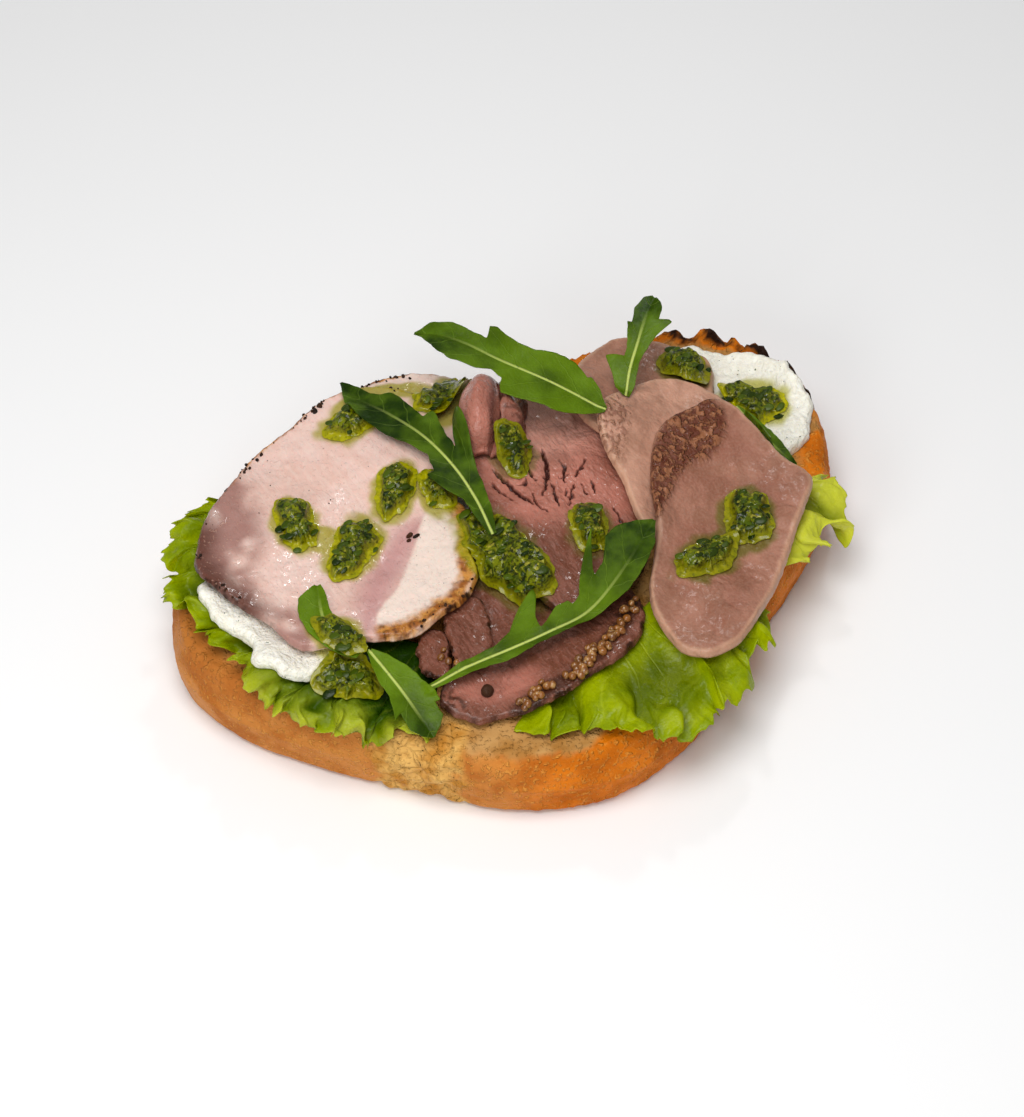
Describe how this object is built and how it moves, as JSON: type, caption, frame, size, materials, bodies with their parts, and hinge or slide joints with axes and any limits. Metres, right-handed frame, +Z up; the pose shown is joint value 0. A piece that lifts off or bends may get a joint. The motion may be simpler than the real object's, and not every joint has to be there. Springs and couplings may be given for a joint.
{
  "type": "open sandwich",
  "caption": "Open sandwich: a thick oval slice of hearth bread with soft cheese, lettuce, slices of roast pork, roast beef and tongue, rocket leaves and dollops of green pesto.",
  "frame": {"origin": "middle of the underside of the whole sandwich's box, on the surface it lies on", "axes": "+X along the length of the bread, +Y from its front edge to its back edge, +Z up"},
  "size_m": [0.2088, 0.1538, 0.0577],
  "materials": {
    "bread": "baked golden brown crust round a pale open crumb",
    "soft_cheese": "moist, fine-grained and white",
    "lettuce": "waxy, thin and translucent",
    "pork": "moist cut meat with a roasted rim",
    "beef": "moist cut meat, pink inside and brown at the rim",
    "tongue": "moist boiled meat, fine-grained",
    "pesto": "chopped herbs in oil, wet",
    "rocket": "satin leaf with a pale midrib",
    "mustard_seed": "smooth skin, wet",
    "pepper": "wrinkled and dry"
  },
  "bodies": {
    "root": {"beef_end_left": "beef", "beef_end_right": "beef", "beef_fold": "beef", "beef_slice_fan": "beef", "beef_slice_front": "beef", "bread_slice": "bread", "lettuce_leaf_end": "lettuce", "lettuce_leaf_left": "lettuce", "lettuce_leaf_right": "lettuce", "pesto_dollop_01": "pesto", "pesto_dollop_02": "pesto", "pesto_dollop_03": "pesto", "pesto_dollop_04": "pesto", "pesto_dollop_05": "pesto", "pesto_dollop_06": "pesto", "pesto_dollop_07": "pesto", "pesto_dollop_08": "pesto", "pesto_dollop_09": "pesto", "pesto_dollop_10": "pesto", "pesto_dollop_11": "pesto", "pesto_dollop_12": "pesto", "pesto_dollop_13": "pesto", "pesto_dollop_14": "pesto", "pesto_dollop_15": "pesto", "pork_slice_back": "pork", "pork_slice_front": "pork", "rocket_leaf_1": "rocket", "rocket_leaf_2": "rocket", "rocket_leaf_3": "rocket", "rocket_leaf_4": "rocket", "rocket_leaf_5": "rocket", "rocket_leaf_6": "rocket", "rocket_leaf_7": "rocket", "soft_cheese_spread": "soft_cheese", "tongue_slice_back": "tongue", "tongue_slice_front": "tongue", "tongue_slice_middle": "tongue"}
  },
  "joints": []
}
